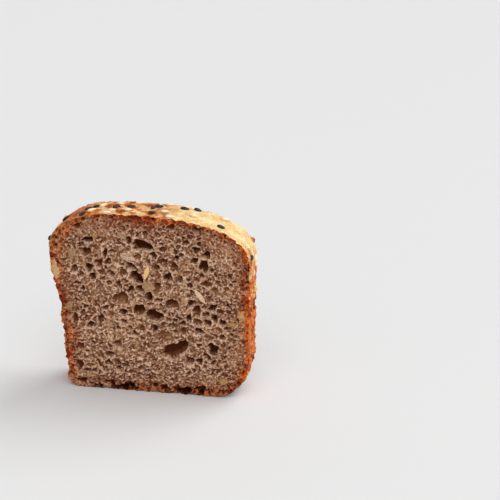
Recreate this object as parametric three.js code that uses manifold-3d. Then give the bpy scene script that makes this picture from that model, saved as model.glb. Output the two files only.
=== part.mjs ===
// A slice of multigrain tin bread, standing on its bottom crust.
// Millimetres, +Z up. The cut faces look along -Y (front) and +Y (back),
// +X is to the right of the front face, and the origin is under the middle of the slice.

import * as THREE from "three";
import { mergeVertices } from "three/addons/utils/BufferGeometryUtils.js";
import Module from "manifold-3d";

const wasm = await Module();
wasm.setup();

// Driving dimensions
const WIDTH = 102; // across the shoulders
const HEIGHT = 97.5; // from the sole to the top of the dome
const THICKNESS = 20; // between the two cut faces
const SEED_LENGTH = 3.3; // one sesame seed
const SEED_WIDTH = 2.1;
const SEED_HEIGHT = 1.3;

const HALF = WIDTH / 2;
const MID_HEIGHT = HEIGHT / 2;
const FRONT = -THICKNESS / 2;
const BACK = THICKNESS / 2;

// The outline, seen from the front, as x and z. The loaf leans a little to the left.
const SOLE = { left: [-38.6, 0], right: [27.4, 0] }; // the flat stretch that the slice stands on
const RIGHT_HEEL = { pull: [49.4, 0.3], top: [50.2, 20] }; // the round corner under the right side
const LEFT_HEEL = { pull: [-45.4, 0.2], top: [-45.8, 6] };
const RIGHT_SHOULDER = [HALF, 73]; // where the side leaves the tin and the dome begins
const LEFT_SHOULDER = [-HALF, 76];
const APEX = [-11.6, HEIGHT]; // the dome's highest point
const RIGHT_DOME = { low: [HALF, 91.5], high: [24.4, 97.9] }; // handles of the curve up to the apex
const LEFT_DOME = { low: [-51.1, 86.5], high: [-41.2, 98.5] };
const LEFT_WAIST = { low: [-45.8, 58], high: [-50.8, 58] }; // the left side draws in below its shoulder

// The crust's skin
const OUTLINE_POINTS = 104;
const CRUST_STEPS = 6; // rings of the skin between the cut faces
const CRUST_WAVE = 0.35; // how far the skin swells and dips
const WAVE_DIP = 0.6; // share of the wave that is taken inward, so that the width stays as stated
const CRAG_LIFT = 1.6; // how far the sole's broken edge is nibbled away
const CRAG_REACH = 3.5; // how far that edge runs in from a cut face

// The crumb's pores
const CRUST_MARGIN = 4.5; // the crust and the close crumb beside it hold none
const PORE_WALL = 0.7; // the least crumb between two pores
const PORE_COUNT = { front: 34, back: 44 };
const PORE_SIZES = { least: 1.2, most: 2.5 };
const PORE_FORM = { wide: [0.85, 1.25], tall: [0.75, 1.05], deep: [0.7, 1.3] }; // shares of the size

// The large pores of the front face: x, z, half width, half height, depth, turn in degrees
const LARGE_PORES = [
  [-3.0, 81.2, 4.8, 2.3, 3.6, -8],
  [-6.7, 65.9, 3.1, 3.4, 3.8, 0],
  [1.1, 43.7, 3.9, 2.4, 3.4, 0],
  [-5.8, 45.7, 2.2, 2.4, 3.0, 0],
  [11.0, 23.9, 6.4, 2.4, 3.8, 14],
  [17.9, 30.6, 1.9, 3.0, 2.4, -20],
  [32.0, 27.4, 2.8, 2.7, 3.2, 0],
  [19.2, 19.2, 2.9, 2.0, 2.6, 0],
  [27.4, 71.3, 2.1, 2.7, 3.2, 20],
  [-32.2, 76.0, 2.3, 2.1, 2.4, 0],
  [10.8, 50.8, 3.3, 2.6, 2.2, 0],
  [6.5, 73.7, 3.0, 2.3, 1.4, 0],
  [-15.6, 51.9, 4.4, 4.2, 1.4, 0],
  [5.0, 35.0, 4.0, 3.4, 1.2, 0],
  [-38.9, 39.8, 1.8, 2.7, 2.2, 0],
];

// Seeds on the dome: millimetres along the crust to the right of the apex, then across from its middle
const DOME_SEEDS = [
  [-43.8, -8.2],
  [-33.7, -0.2],
  [-21.4, -6.8],
  [-20.2, -0.2],
  [-17.2, -4.5],
  [-16.6, 1.8],
  [-13.1, 1.8],
  [-8.4, -8.2],
  [-6.8, -5.2],
  [-5.5, -1.0],
  [-5.1, 5.0],
  [1.1, -4.2],
  [1.4, 1.0],
  [4.2, 6.8],
  [12.6, 1.0],
  [13.4, -5.2],
  [14.2, 3.8],
  [18.8, 8.2],
  [19.2, -2.8],
  [23.0, -8.2],
  [27.3, 5.8],
  [27.6, 8.2],
  [30.6, 8.2],
  [33.2, 8.2],
  [33.2, -1.8],
  [47.8, -4.5],
  [47.9, 6.5],
  [64.2, -4.2],
  [69.9, -4.2],
  [78.0, 8.2],
];

// More seeds on the two shoulders, spread by chance down to the line of the tin
const SHOULDERS = [
  { seeds: 14, reach: [-72, -37] },
  { seeds: 6, reach: [66, 84] },
];
const SEED_GAP = 4.2; // between the middles of two seeds
const SEED_SINK = 0.1; // how far a seed's middle lies under the skin
const SEED_SIDES = 7;
const SEED_PROFILE = [
  [0, -0.5],
  [0.36, -0.36],
  [0.5, -0.08],
  [0.34, 0.26],
  [0, 0.5],
]; // shares of the width and of the length, from the round end to the pointed one

// Crumbs that stand proud of the two tin-baked sides, in even steps down each side
const SIDES = [
  { crumbs: 7, reach: [-77, -108] },
  { crumbs: 7, reach: [88, 128] },
];
const CRUMB_SIZES = { least: 1.1, most: 1.9 };
const CRUMB_FORM = [0.8, 1.1, 1.2]; // shares of the size along X, Y and Z
const CRUMB_STAGGER = [0.2, 0.8]; // where in its step a crumb may lie
const CRUMB_SINK = 0.45; // of a crumb's size

const DRAW_START = 20;
const MOST_DRAWS = 6000;
const BREAD_COLOUR = 0x8d6a50;

// Repeatable draws from 0 to 1
function drawsFrom(start) {
  let state = start;
  return () => {
    state = (Math.imul(state, 1664525) + 1013904223) >>> 0;
    return state / 2 ** 32;
  };
}

function drawBetween([low, high], draw) {
  return THREE.MathUtils.lerp(low, high, draw());
}

function sliceOutline() {
  const outline = new THREE.Shape();
  outline.moveTo(...SOLE.left);
  outline.lineTo(...SOLE.right);
  outline.quadraticCurveTo(...RIGHT_HEEL.pull, ...RIGHT_HEEL.top);
  outline.lineTo(...RIGHT_SHOULDER);
  outline.bezierCurveTo(...RIGHT_DOME.low, ...RIGHT_DOME.high, ...APEX);
  outline.bezierCurveTo(...LEFT_DOME.high, ...LEFT_DOME.low, ...LEFT_SHOULDER);
  outline.bezierCurveTo(...LEFT_WAIST.high, ...LEFT_WAIST.low, ...LEFT_HEEL.top);
  outline.quadraticCurveTo(...LEFT_HEEL.pull, ...SOLE.left);
  return outline;
}

const outline = sliceOutline();
const outlineLength = outline.getLength();
const apexArc = outline.getCurveLengths()[3]; // sole, heel, right side and right half of the dome
const outlinePoints = outline.getSpacedPoints(OUTLINE_POINTS).slice(0, -1);

// A closed three.js geometry as a solid that can be joined and cut
function solidOf(geometry) {
  const bare = geometry.clone();
  bare.deleteAttribute("normal");
  bare.deleteAttribute("uv");
  const merged = mergeVertices(bare, 1e-3);
  return new wasm.Manifold(
    new wasm.Mesh({
      numProp: 3,
      vertProperties: merged.getAttribute("position").array,
      triVerts: new Uint32Array(merged.getIndex().array),
    }),
  );
}

function geometryOf(solid) {
  const mesh = solid.getMesh();
  const geometry = new THREE.BufferGeometry();
  geometry.setAttribute("position", new THREE.BufferAttribute(new Float32Array(mesh.vertProperties), 3));
  geometry.setIndex(new THREE.BufferAttribute(new Uint32Array(mesh.triVerts), 1));
  geometry.computeVertexNormals();
  return geometry;
}

// A point of the crust's skin, its tangent and its outward normal
function crustFrame(along, across) {
  const share = THREE.MathUtils.euclideanModulo(apexArc - along, outlineLength) / outlineLength;
  const point = outline.getPoint(share);
  const tangent = outline.getTangent(share);
  return {
    point: new THREE.Vector3(point.x, across, point.y),
    tangent: new THREE.Vector3(tangent.x, 0, tangent.y),
    normal: new THREE.Vector3(tangent.y, 0, -tangent.x),
  };
}

// Slow swells of the skin, from -1 to 1
function crustWave(x, y, z) {
  return 0.5 * Math.sin(0.31 * x + 0.42 * y + 0.9) + 0.5 * Math.sin(0.27 * z - 0.37 * y);
}

function isOnSole(x, z) {
  return z < MID_HEIGHT && x >= SOLE.left[0] && x <= SOLE.right[0];
}

// How far the sole is nibbled away at a cut face: two waves along the edge, cut off below
function cragLift(x) {
  const bite = 0.65 * Math.sin(0.71 * x) + 0.4 * Math.sin(0.29 * x + 2.1);
  return CRAG_LIFT * Math.max(0, bite);
}

// The slice before its pores are cut and its seeds are laid on
function breadBody() {
  const cutOutline = outlinePoints.map(
    ({ x, y: z }) => new THREE.Vector2(x, isOnSole(x, z) ? cragLift(x) : z),
  );
  const geometry = new THREE.ExtrudeGeometry(new THREE.Shape(cutOutline), {
    depth: THICKNESS,
    steps: CRUST_STEPS,
    bevelEnabled: false,
  });
  geometry.rotateX(Math.PI / 2);
  geometry.translate(0, BACK, 0);
  const positions = geometry.getAttribute("position");
  const place = new THREE.Vector3();
  const outward = new THREE.Vector3();
  for (let i = 0; i < positions.count; i += 1) {
    place.fromBufferAttribute(positions, i);
    const { x, y, z } = place;
    if (isOnSole(x, z)) {
      place.z *= Math.max(0, 1 - (BACK - Math.abs(y)) / CRAG_REACH); // flat away from the cuts
    } else {
      const fade = Math.min(1, z / LEFT_HEEL.top[1]); // the swell dies away at the sole
      outward.set(x / HALF, 0, (z - MID_HEIGHT) / MID_HEIGHT).normalize();
      place.addScaledVector(outward, CRUST_WAVE * fade * (crustWave(x, y, z) - WAVE_DIP));
    }
    positions.setXYZ(i, place.x, place.y, place.z);
  }
  return solidOf(geometry);
}

// Whether a place on a cut face lies inside the outline by at least a margin
function isInside(x, z, margin) {
  let inside = false;
  let nearest = Infinity;
  const place = new THREE.Vector3(x, z, 0);
  const onEdge = new THREE.Vector3();
  outlinePoints.forEach((a, i) => {
    const b = outlinePoints[(i + 1) % outlinePoints.length];
    const crosses = a.y > z !== b.y > z && x < ((b.x - a.x) * (z - a.y)) / (b.y - a.y) + a.x;
    inside = crosses ? !inside : inside;
    const edge = new THREE.Line3(new THREE.Vector3(a.x, a.y, 0), new THREE.Vector3(b.x, b.y, 0));
    edge.closestPointToPoint(place, true, onEdge);
    nearest = Math.min(nearest, place.distanceTo(onEdge));
  });
  return inside && nearest >= margin;
}

// Small pores for one cut face, from large to small, so that they fit between those already there
function smallPores(count, taken, draw) {
  const pores = [];
  for (let i = 0; i < MOST_DRAWS && pores.length < count; i += 1) {
    const size = THREE.MathUtils.lerp(PORE_SIZES.most, PORE_SIZES.least, pores.length / count);
    const x = drawBetween([-HALF, HALF], draw);
    const z = drawBetween([0, HEIGHT], draw);
    const halfWidth = size * drawBetween(PORE_FORM.wide, draw);
    const halfHeight = size * drawBetween(PORE_FORM.tall, draw);
    const depth = size * drawBetween(PORE_FORM.deep, draw);
    const turn = drawBetween([0, 180], draw);
    const reach = Math.max(halfWidth, halfHeight);
    const clear = [...taken, ...pores].every(
      (p) => Math.hypot(p[0] - x, p[1] - z) > Math.max(p[2], p[3]) + reach + PORE_WALL,
    );
    if (clear && isInside(x, z, CRUST_MARGIN + reach)) {
      pores.push([x, z, halfWidth, halfHeight, depth, turn]);
    }
  }
  return pores;
}

// A pore is half an ellipsoid, sunk from the cut face at y
function poreSolid([x, z, halfWidth, halfHeight, depth, turn], y) {
  const geometry = new THREE.IcosahedronGeometry(1, 1);
  geometry.scale(halfWidth, depth, halfHeight);
  geometry.rotateY(THREE.MathUtils.degToRad(turn));
  geometry.translate(x, y, z);
  return solidOf(geometry);
}

// A sesame seed is a flat drop, lying along Y with Z up
function seedGeometry() {
  const profile = SEED_PROFILE.map(
    ([radius, along]) => new THREE.Vector2(radius * SEED_WIDTH, along * SEED_LENGTH),
  );
  const geometry = new THREE.LatheGeometry(profile, SEED_SIDES);
  geometry.scale(1, 1, SEED_HEIGHT / SEED_WIDTH);
  return geometry;
}

function seedSolid([along, across], turn) {
  const { point, tangent, normal } = crustFrame(along, across);
  const lengthways = tangent.applyAxisAngle(normal, turn);
  const sideways = new THREE.Vector3().crossVectors(lengthways, normal);
  const placed = new THREE.Matrix4().makeBasis(sideways, lengthways, normal);
  placed.setPosition(point.addScaledVector(normal, -SEED_SINK - WAVE_DIP * CRUST_WAVE));
  return solidOf(seedGeometry().applyMatrix4(placed));
}

// Seeds on the two shoulders, each clear of those already laid
function shoulderSeeds(draw) {
  const seeds = [];
  const margin = (THICKNESS - SEED_LENGTH) / 2;
  SHOULDERS.forEach((shoulder) => {
    const enough = seeds.length + shoulder.seeds;
    for (let i = 0; i < MOST_DRAWS && seeds.length < enough; i += 1) {
      const along = drawBetween(shoulder.reach, draw);
      const across = drawBetween([-margin, margin], draw);
      const clear = [...DOME_SEEDS, ...seeds].every(
        (seed) => Math.hypot(seed[0] - along, seed[1] - across) > SEED_GAP,
      );
      if (clear) seeds.push([along, across]);
    }
  });
  return seeds;
}

// A rough crumb baked onto one of the sides
function crumbSolid(along, draw) {
  const size = drawBetween([CRUMB_SIZES.least, CRUMB_SIZES.most], draw);
  const margin = BACK - CRUMB_SIZES.most;
  const { point, normal } = crustFrame(along, drawBetween([-margin, margin], draw));
  const geometry = new THREE.IcosahedronGeometry(size, 0);
  geometry.scale(...CRUMB_FORM);
  geometry.rotateY(drawBetween([0, Math.PI], draw));
  geometry.translate(...point.addScaledVector(normal, -CRUMB_SINK * size));
  return solidOf(geometry);
}

function sideCrumbs(draw) {
  return SIDES.flatMap(({ crumbs, reach }) =>
    Array.from({ length: crumbs }, (_, i) => {
      const share = (i + drawBetween(CRUMB_STAGGER, draw)) / crumbs;
      return crumbSolid(THREE.MathUtils.lerp(...reach, share), draw);
    }),
  );
}

function breadSlice() {
  const draw = drawsFrom(DRAW_START);
  const frontPores = [...LARGE_PORES, ...smallPores(PORE_COUNT.front, LARGE_PORES, draw)];
  const backPores = smallPores(PORE_COUNT.back, [], draw);
  const cuts = [
    ...frontPores.map((pore) => poreSolid(pore, FRONT)),
    ...backPores.map((pore) => poreSolid(pore, BACK)),
  ];
  const seeds = [...DOME_SEEDS, ...shoulderSeeds(draw)];
  const toppings = [
    ...seeds.map((seed) => seedSolid(seed, drawBetween([0, Math.PI], draw))),
    ...sideCrumbs(draw),
  ];
  const porous = cuts.reduce((slice, pore) => slice.subtract(pore), breadBody());
  const slice = toppings.reduce((bread, topping) => bread.add(topping), porous);
  const mesh = new THREE.Mesh(
    geometryOf(slice),
    new THREE.MeshStandardMaterial({ color: BREAD_COLOUR, roughness: 0.9, metalness: 0 }),
  );
  mesh.name = "slice";
  return mesh;
}

const bread = new THREE.Group();
bread.add(breadSlice());

export default bread;
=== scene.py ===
import bpy
import math
import numpy as np
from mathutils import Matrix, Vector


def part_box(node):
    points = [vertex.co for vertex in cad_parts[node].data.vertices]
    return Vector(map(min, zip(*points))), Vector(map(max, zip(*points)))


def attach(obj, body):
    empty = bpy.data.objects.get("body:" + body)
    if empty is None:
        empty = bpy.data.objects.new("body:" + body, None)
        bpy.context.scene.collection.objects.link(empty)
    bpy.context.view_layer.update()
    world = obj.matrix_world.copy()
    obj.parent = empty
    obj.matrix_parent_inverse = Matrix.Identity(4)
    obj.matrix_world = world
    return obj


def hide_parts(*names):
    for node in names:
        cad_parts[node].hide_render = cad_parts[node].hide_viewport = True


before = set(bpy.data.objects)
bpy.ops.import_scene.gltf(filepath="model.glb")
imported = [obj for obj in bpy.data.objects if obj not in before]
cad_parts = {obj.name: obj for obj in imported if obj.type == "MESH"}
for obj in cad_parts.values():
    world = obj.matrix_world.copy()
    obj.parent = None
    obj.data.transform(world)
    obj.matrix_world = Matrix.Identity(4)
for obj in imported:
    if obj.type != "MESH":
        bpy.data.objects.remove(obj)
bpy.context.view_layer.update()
low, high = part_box("slice")
mm = 0.001  # sizes below are in millimetres, Blender's are in metres
halfThick = (high.y - low.y) / 2 / mm  # from the middle of the slice to either cut face
print("frame loaded, slice", round(2 * halfThick, 2), "mm thick")

# Camera: where it stands round the slice, and the point that it looks at
shot = {
    "azimuth": 8.95,
    "elevation": 22.0,
    "fieldOfView": 28.0,
    "target": (49.05, 0.0, 78.7),
    "distance": 491.8,
    "nearest": 10.0,  # what is nearer isn't drawn
}


def placeCamera(look):
    camera = bpy.data.objects.new("camera", bpy.data.cameras.new("camera"))
    bpy.context.collection.objects.link(camera)
    turn, tilt = math.radians(look["azimuth"]), math.radians(look["elevation"])
    back = np.array([math.sin(turn) * math.cos(tilt), -math.cos(turn) * math.cos(tilt), math.sin(tilt)])
    camera.location = (np.array(look["target"]) + look["distance"] * back) * mm
    camera.rotation_euler = (math.pi / 2 - tilt, 0, turn)
    camera.data.angle = math.radians(look["fieldOfView"])
    camera.data.clip_start = look["nearest"] * mm
    bpy.context.scene.camera = camera


def latticeDraw(ix, iy, iz, seed):  # one number from -1 to 1 for each lattice point, by mixing its bits
    mixed = (ix * 374761393 + iy * 668265263 + iz * 1440662683 + seed * 97531) & 0xFFFFFFFF
    mixed = ((mixed ^ (mixed >> 13)) * 1274126177) & 0xFFFFFFFF
    return ((mixed ^ (mixed >> 16)) & 0xFFFFFF) / 0x7FFFFF - 1


# Noise: the lattice's numbers, blended across each cell by 6t^5 - 15t^4 + 10t^3;
# the lattice is turned, so that no face of the slice lies along it
def noise(x, y, z, wave, seed):
    turned = (2 * x + 2 * y + z) / 3, (y - 2 * x + 2 * z) / 3, (x - 2 * y + 2 * z) / 3
    grid = [t / wave for t in turned]
    cell = [np.floor(g).astype(np.int64) for g in grid]
    t = [g - c for g, c in zip(grid, cell)]
    fx, fy, fz = [f * f * f * (f * (6 * f - 15) + 10) for f in t]
    total = 0
    for i in (0, 1):
        for j in (0, 1):
            for k in (0, 1):
                weight = (fx if i else 1 - fx) * (fy if j else 1 - fy) * (fz if k else 1 - fz)
                total = total + weight * latticeDraw(cell[0] + i, cell[1] + j, cell[2] + k, seed)
    return total


# Several noises, each of half the wave and half the height of the one before
def roughness(x, y, z, wave, octaves, seed):
    return sum(noise(x, y, z, wave / 2**i, seed + i) / 2**i for i in range(octaves))


# Pits: one point in each square of a lattice; 1 at a point, falling to 0 at a share of the lattice's step
def pits(x, z, step, reach, seed):
    column, row = [np.floor(v / step).astype(np.int64) for v in (x, z)]
    stray = 0.42  # how far a point lies from its square's middle
    most = np.zeros_like(x)
    for i in (-1, 0, 1):
        for j in (-1, 0, 1):
            spotX = (column + i + 0.5 + stray * latticeDraw(column + i, row + j, 0, seed)) * step
            spotZ = (row + j + 0.5 + stray * latticeDraw(column + i, row + j, 1, seed)) * step
            strength = 0.5 + 0.5 * latticeDraw(column + i, row + j, 2, seed)
            far = np.hypot(x - spotX, z - spotZ) / (reach * step)
            most = np.maximum(most, strength * np.maximum(1 - far**2, 0))
    return most


def ease(start, end, value):  # 0 before start, 1 after end, 3t^2 - 2t^3 between
    t = np.clip((value - start) / (end - start), 0, 1)
    return t * t * (3 - 2 * t)


def between(start, full, last, end, value):  # 1 from full to last, easing to 0 at start and end
    return ease(start, full, value) * ease(end, last, value)


def cosSin(degrees):
    return np.cos(np.radians(degrees)), np.sin(np.radians(degrees))


def blur(values, reach):  # average over a square of cells, by running sums
    span = 2 * reach + 1
    for axis in (0, 1):
        sides = [(reach + 1, reach) if a == axis else (0, 0) for a in (0, 1)]
        sums = np.cumsum(np.pad(values, sides, mode="edge"), axis)
        count = sums.shape[axis] - span
        values = (np.take(sums, range(span, span + count), axis) - np.take(sums, range(count), axis)) / span
    return values


# The slice's outline as x and z, clockwise from the top of the dome
loaf = {
    "half": 51.0,  # from the middle to the widest point
    "tall": 97.5,
    "runs": [  # each goes on from the end of the one before: its handles, then its own end
        [(24.4, 97.9), (51, 91.5), (51, 73)],  # right of the dome
        [(50.2, 20)],  # right side
        [(49.4, 0.3), (27.4, 0)],  # right heel
        [(-38.6, 0)],  # sole
        [(-45.4, 0.2), (-45.8, 6)],  # left heel
        [(-45.8, 58), (-50.8, 58), (-51, 76)],  # left side
        [(-51.1, 86.5), (-41.2, 98.5), (-11.6, 97.5)],  # left of the dome
    ],
    "sole": (-38.6, 27.4),  # the flat stretch that it stands on
    "soften": 2.0,  # how far the outline's normals are averaged
    "steps": 3600,
    "runSteps": 400,
}


# A curved run: point i of n is weighted by C(n, i) t^i (1 - t)^(n - i)
def curvedRun(points, count):
    t = np.linspace(0, 1, count, endpoint=False)[:, None]
    degree = len(points) - 1
    weights = [math.comb(degree, i) * t**i * (1 - t) ** (degree - i) for i in range(degree + 1)]
    return sum(w * np.array(p, float) for w, p in zip(weights, points))


# The outline at even steps of its length, with outward normals: the tangent turned left
def traceOutline(look):
    runs, steps = look["runs"], look["steps"]
    rough = np.vstack([curvedRun([runs[i - 1][-1], *run], look["runSteps"]) for i, run in enumerate(runs)])
    rough = np.vstack([rough, rough[:1]])
    reach = np.concatenate([[0], np.cumsum(np.hypot(*np.diff(rough, axis=0).T))])
    arc = np.arange(steps) * reach[-1] / steps
    x, z = [np.interp(arc, reach, v) for v in rough.T]
    span = int(look["soften"] / reach[-1] * steps)
    tx, tz = [np.roll(v, -span) - np.roll(v, span) for v in (x, z)]
    size = np.hypot(tx, tz)
    return {"length": reach[-1], "arc": arc, "x": x, "z": z, "nx": -tz / size, "nz": tx / size}


outline = traceOutline(loaf)
print("outline traced,", round(outline["length"], 1), "mm round")


def onOutline(along):  # x, z and outward normal at a distance along the outline, to the right of the apex
    arc, length = outline["arc"], outline["length"]
    return [np.interp(along, arc, outline[key], period=length) for key in ("x", "z", "nx", "nz")]


# Maps over the cut face: distance from the outline, and the nearest outward normal
def edgeMaps(step=1.0, margin=4.0, every=8):
    x = np.arange(-loaf["half"] - margin, loaf["half"] + margin + step, step)
    z = np.arange(-margin, loaf["tall"] + margin + step, step)
    ox, oz, nx, nz = [outline[key][::every] for key in ("x", "z", "nx", "nz")]
    gap = np.hypot(x[None, :, None] - ox, z[:, None, None] - oz)
    nearest = gap.argmin(-1)
    nx, nz = nx[nearest], nz[nearest]
    out = (x[None, :] - ox[nearest]) * nx + (z[:, None] - oz[nearest]) * nz
    return {"inside": (x, z, -np.sign(out) * gap.min(-1)), "nx": (x, z, nx), "nz": (x, z, nz)}


def readMap(table, x, z):  # a map's value between its points, blended by distance
    xs, zs, values = table
    i = np.clip((z - zs[0]) / (zs[1] - zs[0]), 0, len(zs) - 1.001)
    j = np.clip((x - xs[0]) / (xs[1] - xs[0]), 0, len(xs) - 1.001)
    i0, j0 = i.astype(int), j.astype(int)
    fi, fj = i - i0, j - j0
    upper = values[i0, j0] * (1 - fj) + values[i0, j0 + 1] * fj
    lower = values[i0 + 1, j0] * (1 - fj) + values[i0 + 1, j0 + 1] * fj
    return upper * (1 - fi) + lower * fi


edges = edgeMaps()


def meshPiece(name, vertices, faces):  # vertices in mm, faces as rows of corner numbers
    mesh = bpy.data.meshes.new(name)
    mesh.from_pydata(np.asarray(vertices) * mm, [], faces)
    mesh.update()
    mesh.polygons.foreach_set("use_smooth", np.ones(len(mesh.polygons), bool))
    piece = bpy.data.objects.new(name, mesh)
    bpy.context.collection.objects.link(piece)
    return piece


def paintPoints(piece, shares):  # numbers for each vertex, for the material to read
    for name, values in shares.items():
        layer = piece.data.attributes.new(name, "FLOAT", "POINT")
        layer.data.foreach_set("value", np.asarray(values, np.float32).ravel())


def layChart(piece, corners):  # the flat chart of the piece, a place for each face corner
    layer = piece.data.uv_layers.new(name="OFBake")
    layer.data.foreach_set("uv", np.asarray(corners, np.float32).ravel())


def gridFaces(rows, columns, closeRows=False, closeColumns=False):
    number = np.arange(rows * columns).reshape(rows, columns)
    corners = [np.roll(number, shift, (0, 1)) for shift in ((0, 0), (0, -1), (-1, -1), (-1, 0))]
    faces = np.stack(corners, -1)[: rows - (not closeRows), : columns - (not closeColumns)]
    return faces.reshape(-1, 4)


# Crumb: the cut faces, full of pores
crumbLook = {
    "columns": 306,
    "rows": 296,
    "corners": (-38.0, 60.0, 146.0, 232.0),  # of its grid, on the outline, clockwise from the top left
    "inset": 1.4,  # its edge runs this far inside the skin
    "tuck": 0.9,  # how far that edge dips under the crust's band
    "tuckZone": (2.4, 0.9),
    "core": (0.0, 0.0, 48.0),  # middle of its flat side
    "chart": (104.0, 100.0),  # width and height on the chart
    "grain": 0.2,  # one step of the depth map
    "margin": 3.0,  # the map reaches this far past the outline
    "least": 0.6,  # depth of the plain surface
    "count": 1000,  # how many pores are tried
    "tries": 60,
    "fillRadii": (2.3, 0.5),  # largest and least between the front face's own pores
    "allRadii": (3.6, 0.55),  # on the back face
    "fall": 1.4,  # the larger, the more of the pores are small
    "wall": 0.2,  # least crumb between pores
    "crustWall": 1.5,  # and between a pore and the crust
    "crustRadius": (0.45, 0.1),  # largest radius at the crust, and its growth inwards
    "patch": 13.0,  # size of open and closed patches
    "patchSeed": 3,
    "patchRadius": (1.65, 1.84),  # largest radius in a middling patch, and its spread
    "patchFine": 0.4,  # how much smoother the closed patches are
    "stretch": (1.0, 1.45),  # length of a pore against its width
    "deepShare": 0.6,
    "deep": (0.8, 1.7),  # depth against radius for that share of the pores
    "shallow": (0.25, 0.7),  # and for the others
    "lie": 45.0,  # spread of their turns in degrees
    "flatZone": (30.0, 8.0),  # from here down to here, pores come to lie flatter
    "flatten": (0.25, 0.2, 0.7),  # how much wider, lower and more level they are there
    "bend": 0.6,  # how far the pores' edges wander
    "bendWave": 2.6,
    "form": (0.45, 0.35),  # how far pores are drawn out to a drop and bowed
    "swell": 0.25,  # how far a pore grows where its neighbours leave room
    "web": 0.12,  # half a wall between two grown pores
    "rim": 1.35,  # how much wider the front face's own pores are than their dark parts
    "steep": 0.3,  # how much steeper a deep pore's side is
    "shelf": 2.2,  # a side is no wider than this
    "shadeInPores": (0.2, 0.3),  # painted shade of a pore, and what each millimetre of depth adds
    "roofShade": 0.7,  # how much more painted shade its roof has, as if lit from above
    # most painted shade that a pore or crag gets
    "darkest": 1.3,
    "pits": ((1.125, 2.3, 0.42), (0.625, 1.4, 0.45)),  # depth, spacing and reach of the finest pores
    "pitSway": (0.35, 1.3),
    "torn": (0.4, 3.0),  # height and wave of the torn surface
    "tornPits": 0.6,
    "rimZone": (7.0, 2.0),  # near the crust it is more pitted
    "slow": ((0.3, 20.0), (0.7, 6.5)),  # height and wave of its slow swells
    "crag": 4.5,  # depth of the hollows along the sole
    "cragWave": 4.2,
    "cragZone": (6.0, 2.0),
}
# The pores that stand out in the front face: x, z, half width, half height, depth, turn in degrees,
# and for the first three also how far they are drawn out to a drop and bowed
frontPores = [
    (12.4, 26.2, 6.7, 2.9, 3.4, 27, 0.5, -0.6), (-2.5, 81, 4.6, 2.2, 4.4, -14, 0.4, 0),
    (-6.6, 63.6, 3.3, 2.1, 4.4, -58, 0, 0),
    (7, 32, 4.1, 2.8, 1, 0), (-15.5, 51.5, 3.4, 3.1, 1.7, 0), (1.5, 43.5, 4.2, 2.4, 3.8, -8),
    (11, 50, 2.9, 2.4, 2, 0), (-5.5, 45.5, 2.4, 2.8, 3.2, 0), (32, 27, 2.2, 2.8, 4, 0),
    (27.5, 71.5, 2, 2.5, 3.4, -25), (23.5, 47.5, 1.6, 3.1, 2.4, -14), (7, 73, 2.4, 2, 1.8, 0),
    (3.5, 58.5, 1.6, 2.8, 1.7, -12), (-32, 76, 2, 2.1, 2.6, 0), (19.5, 19.5, 2.2, 1.8, 2.4, 0),
    (-39, 12.5, 1.6, 2.4, 3.4, 0), (-38, 23.5, 1.8, 2.1, 2.4, -30), (-18.5, 26.5, 2.1, 1.7, 2, 0),
    (9.5, 65, 1.9, 1.8, 3.4, 0), (-39.5, 39, 1.3, 2.5, 2.6, 0), (-16, 59, 1.4, 2.3, 2, 0),
    (-31, 82.5, 2.5, 1.2, 3.4, 0), (21, 52, 1.5, 2, 2.8, -40), (-25.5, 40, 1.6, 1.8, 2.4, 0),
    (24.5, 36.5, 2.1, 1.3, 3.8, 0), (32.5, 43.5, 1.5, 1.8, 3, 30), (-22, 76, 1, 2.5, 2.6, -18),
    (29, 78, 1.7, 1.3, 3.2, 0), (-36, 89.5, 2.1, 1, 2.4, 14), (11.5, 92, 1.8, 1.1, 2.8, 0),
    (24.5, 91, 2.1, 0.9, 3, -15),
]


# Flakes and slivers of grain in the front face
flakeLook = {
    "rings": 14, "sides": 16, "ends": (0.5, 0.5),  # both ends are round
    "thick": 0.8,
    "sunk": 1.0,
    "proud": 0.55,  # slivers lie this much higher
    "slender": (0.38, 0.33),  # width against length of a sliver
    "ragged": 0.4,
    "room": 0.6,  # share of a flake's length that pores keep clear of
    "cool": ((160, 120, 94), (244, 212, 186)),  # colours of a dull and a pale flake
    "warm": ((176, 130, 72), (252, 208, 142)),
}
flakes = [  # x, z, half length, half width, turn in degrees, paleness, warmth
    (-1.2, 67.3, 4.2, 1.3, 73, 1, 1), (25.5, 56.2, 4.7, 1.3, -54, 0.9, 0.2),
    (46.2, 46.3, 3.1, 2, 90, 0.35, 0.9), (-26.7, 86, 2.2, 1.8, 0, 0.1, 0.7),
    (-38.6, 76, 2.6, 1.8, -30, 0.15, 0.4), (-10.6, 74.7, 4, 2, -15, 0.6, 0.15),
    (-0.6, 59.3, 3.2, 2, 10, 0.3, 0.5), (36.7, 9, 2.6, 1.8, 20, 0.2, 0.7),
    (-47.9, 64.8, 5.6, 2.2, 103, 0.6, 0.85), (-12.5, 86.2, 3, 2, 0, 0.2, 0.4),
    (46.2, 35, 1.3, 1, 60, 0.5, 0.6), (-42, 46.5, 2, 1.7, 0, 0.1, 0.4),
    (41.5, 41.5, 2.4, 1.5, 10, 0.1, 0.7), (-45, 4.6, 1.5, 1.1, 70, 0.2, 0.6),
]


# A patch between four curves: the two ruled surfaces less the one through the corners
def patchBetween(bottom, top, left, right):
    u = np.linspace(0, 1, len(bottom))[None, :, None]
    v = np.linspace(0, 1, len(left))[:, None, None]
    ruled = (1 - v) * bottom[None] + v * top[None] + (1 - u) * left[:, None] + u * right[:, None]
    corners = (1 - v) * ((1 - u) * bottom[0] + u * bottom[-1]) + v * ((1 - u) * top[0] + u * top[-1])
    return ruled - corners


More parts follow.
